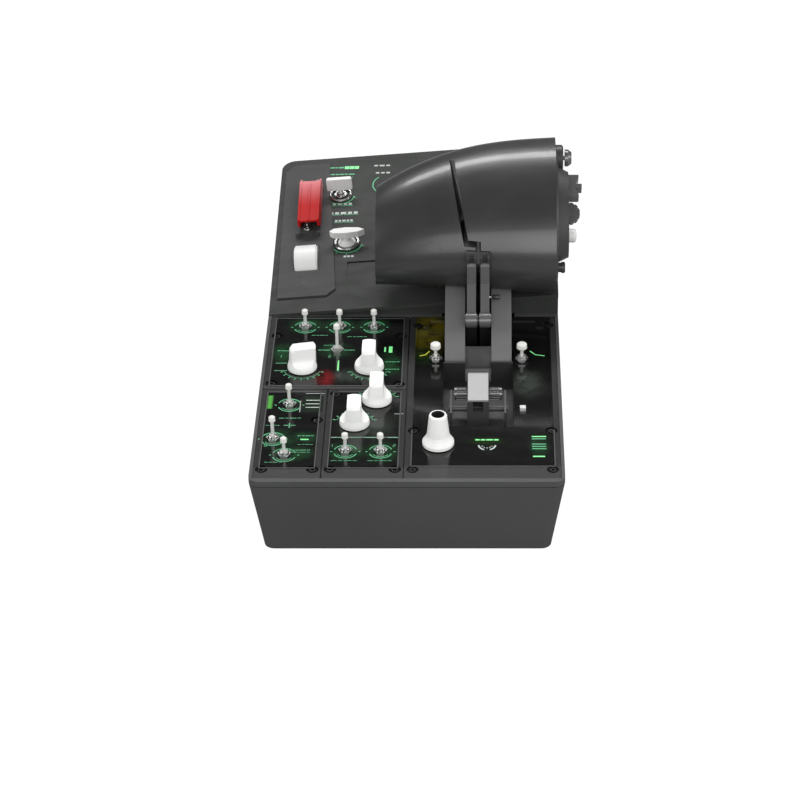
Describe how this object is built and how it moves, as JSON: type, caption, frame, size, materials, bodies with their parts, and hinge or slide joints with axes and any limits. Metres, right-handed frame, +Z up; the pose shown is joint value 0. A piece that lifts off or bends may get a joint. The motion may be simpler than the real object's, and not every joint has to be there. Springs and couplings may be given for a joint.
{
  "type": "throttle quadrant",
  "caption": "Desk-top throttle quadrant: flat switch deck with knobs and toggles, sloped rear console with a guarded switch, and a split two-lever throttle grip.",
  "frame": {"origin": "centre of the four mounting holes on the underside of the bottom plate", "axes": "+X to the pilot's right, +Y forward and away from the pilot, +Z up"},
  "size_m": [0.1944, 0.341, 0.1466],
  "materials": {
    "housing_plastic": "fine moulded grain",
    "frame_plastic": "lighter moulded edge band",
    "panel_gloss": "smooth dark gloss",
    "steel_plate": "powder coat",
    "foot_rubber": "soft matte",
    "screw_black": "blackened steel",
    "nickel": "nickel plate",
    "board": "solder mask",
    "lens_green": "tinted clear window",
    "knob_white": "satin ivory",
    "cap_white": "white cap on a plated bat",
    "knob_dark": "satin black",
    "grip_plastic": "satin black paint",
    "lever_metal": "dark painted alloy",
    "adjuster_grey": "dull grey zinc",
    "guard_red": "semi-gloss red"
  },
  "bodies": {
    "base": {"adjuster_bracket": "adjuster_grey", "bottom_plate": "steel_plate", "circuit_boards": "board", "console_bushings": "housing_plastic", "console_cover": "housing_plastic", "console_sub_panel": "housing_plastic", "deck_switches": "nickel", "guard_base": "nickel", "housing_tub": "housing_plastic", "indicator_windows": "lens_green", "lever_bearings": "nickel", "panel_lower_left": "panel_gloss", "panel_lower_middle": "panel_gloss", "panel_right": "panel_gloss", "panel_upper_left": "panel_gloss", "pivot_shaft": "nickel", "quadrant_cover": "housing_plastic", "quadrant_frame": "steel_plate", "rotary_pots": "nickel", "rubber_feet": "foot_rubber", "screws": "screw_black", "top_frame": "frame_plastic", "usb_socket": "nickel", "well_tray": "housing_plastic"},
    "left_throttle": {"left_lever": "lever_metal", "left_grip": "grip_plastic"},
    "right_throttle": {"right_lever": "lever_metal", "right_grip": "grip_plastic", "thumb_pod": "grip_plastic"},
    "left_lift": {"left_finger_lift": "lever_metal"},
    "right_lift": {"right_finger_lift": "lever_metal"},
    "toggle_back_left_bat": {"toggle_back_left": "cap_white"},
    "toggle_back_middle_bat": {"toggle_back_middle": "cap_white"},
    "toggle_back_right_bat": {"toggle_back_right": "cap_white"},
    "toggle_long_bat": {"toggle_long": "cap_white"},
    "toggle_left_upper_bat": {"toggle_left_upper": "cap_white"},
    "toggle_left_side_bat": {"toggle_left_side": "cap_white"},
    "toggle_left_front_bat": {"toggle_left_front": "cap_white"},
    "toggle_middle_left_bat": {"toggle_middle_left": "cap_white"},
    "toggle_middle_right_bat": {"toggle_middle_right": "cap_white"},
    "toggle_right_inner_bat": {"toggle_right_inner": "knob_white"},
    "toggle_right_outer_bat": {"toggle_right_outer": "knob_white"},
    "knob_upper_left_body": {"knob_upper_left": "knob_white"},
    "knob_upper_right_body": {"knob_upper_right": "knob_white"},
    "knob_middle_right_body": {"knob_middle_right": "knob_white"},
    "knob_middle_left_body": {"knob_middle_left": "knob_white"},
    "knob_tall_body": {"knob_tall": "knob_white"},
    "button_body": {"square_button": "knob_white"},
    "guard": {"switch_guard": "guard_red"},
    "guarded_bat": {"guarded_toggle": "cap_white"},
    "drum": {"console_drum": "knob_white"},
    "wide_toggle": {"paddle_toggle": "knob_white"},
    "selector": {"selector_knob": "knob_white"},
    "hat": {"thumb_hat": "knob_dark"},
    "rocker": {"thumb_rocker": "knob_dark"},
    "wheel": {"thumb_wheel": "knob_dark"},
    "end_button": {"thumb_button": "knob_white"},
    "paddle": {"friction_paddle": "adjuster_grey"},
    "adjuster_wheels": {"tension_wheels": "adjuster_grey"}
  },
  "joints": [
    {"name": "left_throttle_pivot", "type": "hinge", "parent": "base", "child": "left_throttle", "pos_m": [0.0404, 0.0115, 0.0166], "axis": [1, 0, 0], "range_deg": [-6, 30]},
    {"name": "left_lift_slide", "type": "slide", "parent": "left_throttle", "child": "left_lift", "axis": [0, 0, 1], "range_m": [0, 0.004], "stiffness_N_per_m": 150, "springref_m": -0.004},
    {"name": "right_throttle_pivot", "type": "hinge", "parent": "base", "child": "right_throttle", "pos_m": [0.0404, 0.0115, 0.0166], "axis": [1, 0, 0], "range_deg": [-6, 30]},
    {"name": "right_lift_slide", "type": "slide", "parent": "right_throttle", "child": "right_lift", "axis": [0, 0, 1], "range_m": [0, 0.004], "stiffness_N_per_m": 150, "springref_m": -0.004},
    {"name": "toggle_back_left_tilt", "type": "hinge", "parent": "base", "child": "toggle_back_left_bat", "pos_m": [-0.0664, -0.0025, 0.048], "axis": [1, 0, 0], "range_deg": [-12, 12]},
    {"name": "toggle_back_middle_tilt", "type": "hinge", "parent": "base", "child": "toggle_back_middle_bat", "pos_m": [-0.0451, -0.0025, 0.048], "axis": [1, 0, 0], "range_deg": [-12, 12]},
    {"name": "toggle_back_right_tilt", "type": "hinge", "parent": "base", "child": "toggle_back_right_bat", "pos_m": [-0.0239, -0.0025, 0.048], "axis": [1, 0, 0], "range_deg": [-12, 12]},
    {"name": "toggle_long_tilt", "type": "hinge", "parent": "base", "child": "toggle_long_bat", "pos_m": [-0.0455, -0.0295, 0.048], "axis": [1, 0, 0], "range_deg": [-12, 12]},
    {"name": "toggle_left_upper_tilt", "type": "hinge", "parent": "base", "child": "toggle_left_upper_bat", "pos_m": [-0.071, -0.0905, 0.048], "axis": [1, 0, 0], "range_deg": [-12, 12]},
    {"name": "toggle_left_side_tilt", "type": "hinge", "parent": "base", "child": "toggle_left_side_bat", "pos_m": [-0.0785, -0.1265, 0.048], "axis": [1, 0, 0], "range_deg": [-12, 12]},
    {"name": "toggle_left_front_tilt", "type": "hinge", "parent": "base", "child": "toggle_left_front_bat", "pos_m": [-0.071, -0.143, 0.048], "axis": [1, 0, 0], "range_deg": [-12, 12]},
    {"name": "toggle_middle_left_tilt", "type": "hinge", "parent": "base", "child": "toggle_middle_left_bat", "pos_m": [-0.036, -0.1395, 0.048], "axis": [1, 0, 0], "range_deg": [-12, 12]},
    {"name": "toggle_middle_right_tilt", "type": "hinge", "parent": "base", "child": "toggle_middle_right_bat", "pos_m": [-0.0157, -0.1395, 0.048], "axis": [1, 0, 0], "range_deg": [-12, 12]},
    {"name": "toggle_right_inner_tilt", "type": "hinge", "parent": "base", "child": "toggle_right_inner_bat", "pos_m": [0.0146, -0.0395, 0.048], "axis": [1, 0, 0], "range_deg": [-12, 12]},
    {"name": "toggle_right_outer_tilt", "type": "hinge", "parent": "base", "child": "toggle_right_outer_bat", "pos_m": [0.0668, -0.0395, 0.048], "axis": [1, 0, 0], "range_deg": [-12, 12]},
    {"name": "knob_upper_left_turn", "type": "hinge", "parent": "base", "child": "knob_upper_left_body", "pos_m": [-0.0657, -0.0495, 0.0469], "axis": [0, 0, 1], "range_deg": [-135, 135]},
    {"name": "knob_upper_right_turn", "type": "hinge", "parent": "base", "child": "knob_upper_right_body", "pos_m": [-0.0253, -0.0495, 0.0469], "axis": [0, 0, 1], "range_deg": [-135, 135]},
    {"name": "knob_middle_right_turn", "type": "hinge", "parent": "base", "child": "knob_middle_right_body", "pos_m": [-0.0195, -0.0855, 0.0469], "axis": [0, 0, 1], "range_deg": [-135, 135]},
    {"name": "knob_middle_left_turn", "type": "hinge", "parent": "base", "child": "knob_middle_left_body", "pos_m": [-0.0318, -0.1105, 0.0469], "axis": [0, 0, 1], "range_deg": [-135, 135]},
    {"name": "knob_tall_turn", "type": "hinge", "parent": "base", "child": "knob_tall_body", "pos_m": [0.0174, -0.1318, 0.0463], "axis": [0, 0, 1], "range_deg": [-150, 150]},
    {"name": "square_button_press", "type": "slide", "parent": "base", "child": "button_body", "axis": [0, 0, -1], "range_m": [0, 0.0008], "stiffness_N_per_m": 300, "springref_m": -0.001},
    {"name": "guard_lift", "type": "hinge", "parent": "base", "child": "guard", "pos_m": [-0.06878, 0.13542, 0.07118], "axis": [-0.9967, 0, -0.0811], "range_deg": [0, 95]},
    {"name": "guarded_toggle_tilt", "type": "hinge", "parent": "base", "child": "guarded_bat", "pos_m": [-0.06996, 0.09367, 0.06347], "axis": [0.9967, 0, 0.0811], "range_deg": [-12, 12]},
    {"name": "console_drum_rock", "type": "hinge", "parent": "base", "child": "drum", "pos_m": [-0.06845, 0.06394, 0.05236], "axis": [0.9967, 0, 0.0811], "range_deg": [-25, 25]},
    {"name": "paddle_toggle_tilt", "type": "hinge", "parent": "base", "child": "wide_toggle", "pos_m": [-0.04972, 0.12851, 0.06876], "axis": [0.9967, 0, 0.0811], "range_deg": [-12, 12]},
    {"name": "selector_turn", "type": "hinge", "parent": "base", "child": "selector", "pos_m": [-0.04362, 0.07755, 0.06035], "axis": [-0.0803, -0.1392, 0.987], "range_deg": [-60, 60]},
    {"name": "thumb_hat_tilt", "type": "hinge", "parent": "right_throttle", "child": "hat", "pos_m": [0.0903, 0.06474, 0.12866], "axis": [0, -0.6225, 0.7826], "range_deg": [-8, 8], "stiffness_Nm_per_rad": 0.02},
    {"name": "thumb_rocker_tilt", "type": "hinge", "parent": "right_throttle", "child": "rocker", "pos_m": [0.0944, 0.0487, 0.11589], "axis": [0, -0.6225, 0.7826], "range_deg": [-6, 6], "stiffness_Nm_per_rad": 0.02},
    {"name": "thumb_wheel_turn", "type": "hinge", "parent": "right_throttle", "child": "wheel", "pos_m": [0.0964, 0.03539, 0.10531], "axis": [0, -0.6225, 0.7826], "range_deg": [-150, 150]},
    {"name": "thumb_button_press", "type": "slide", "parent": "right_throttle", "child": "end_button", "axis": [-1, 0, 0], "range_m": [0, 0.0012], "stiffness_N_per_m": 300, "springref_m": -0.001},
    {"name": "friction_paddle_rock", "type": "hinge", "parent": "base", "child": "paddle", "pos_m": [0.0404, -0.081, 0.0482], "axis": [1, 0, 0], "range_deg": [-3, 0]},
    {"name": "tension_wheels_turn", "type": "hinge", "parent": "base", "child": "adjuster_wheels", "pos_m": [0.0404, -0.081, 0.0482], "axis": [1, 0, 0], "range_deg": [-150, 150]}
  ]
}
